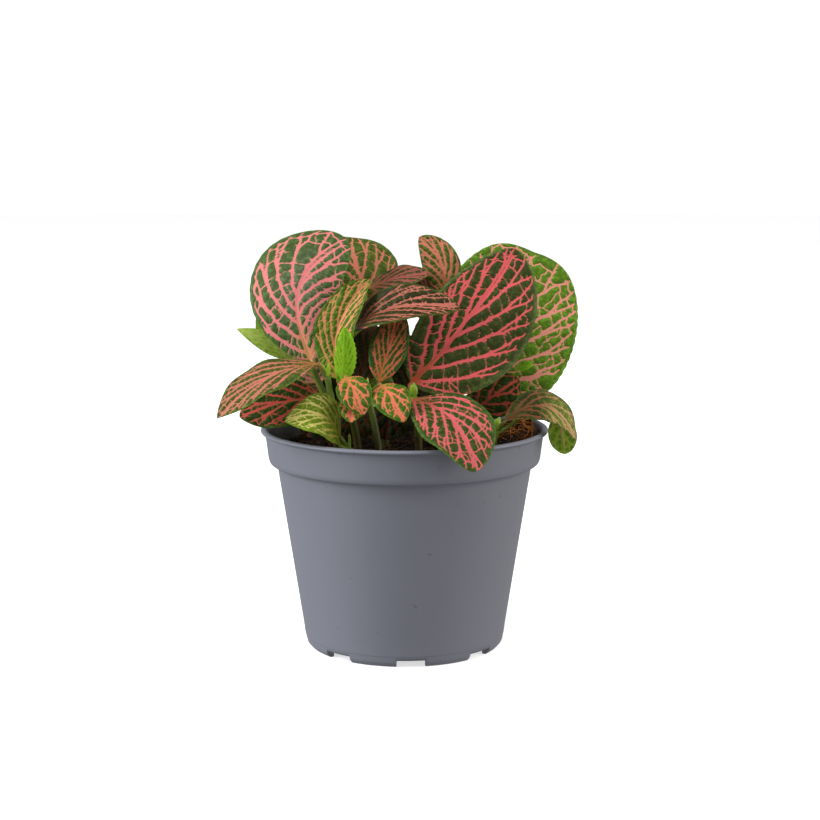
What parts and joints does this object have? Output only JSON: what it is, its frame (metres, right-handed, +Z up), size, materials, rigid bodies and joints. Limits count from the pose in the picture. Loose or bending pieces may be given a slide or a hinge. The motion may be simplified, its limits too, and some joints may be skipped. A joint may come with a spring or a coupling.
{
  "type": "potted nerve plant",
  "caption": "Small foliage houseplant with round, pink-veined leaves on short leafy stems, rooted in soil in a tapered plastic nursery pot.",
  "frame": {"origin": "on the pot's axis, in the plane that the pot stands on, which is also the bottom centre of the bounding box", "axes": "+Z up along the pot's axis, -Y towards the side with the two largest leaves, +X to the right seen from that side"},
  "size_m": [0.1471, 0.133, 0.1732],
  "materials": {
    "pot": "satin",
    "soil": "rough, crumbly peat",
    "leaf": "soft sheen"
  },
  "bodies": {
    "root": {"pot": "pot", "soil": "soil", "leafy_stem_left": "leaf", "leafy_stem_left_front": "leaf", "leafy_stem_pale": "leaf", "leafy_stem_young": "leaf", "leafy_stem_middle": "leaf", "leafy_stem_front": "leaf", "leafy_stem_right_front": "leaf", "leafy_stem_right_back": "leaf", "leafy_stem_top": "leaf", "leafy_stem_right_low": "leaf", "leafy_stem_back_left": "leaf", "leafy_stem_back": "leaf", "leafy_stem_back_right": "leaf"}
  },
  "joints": []
}
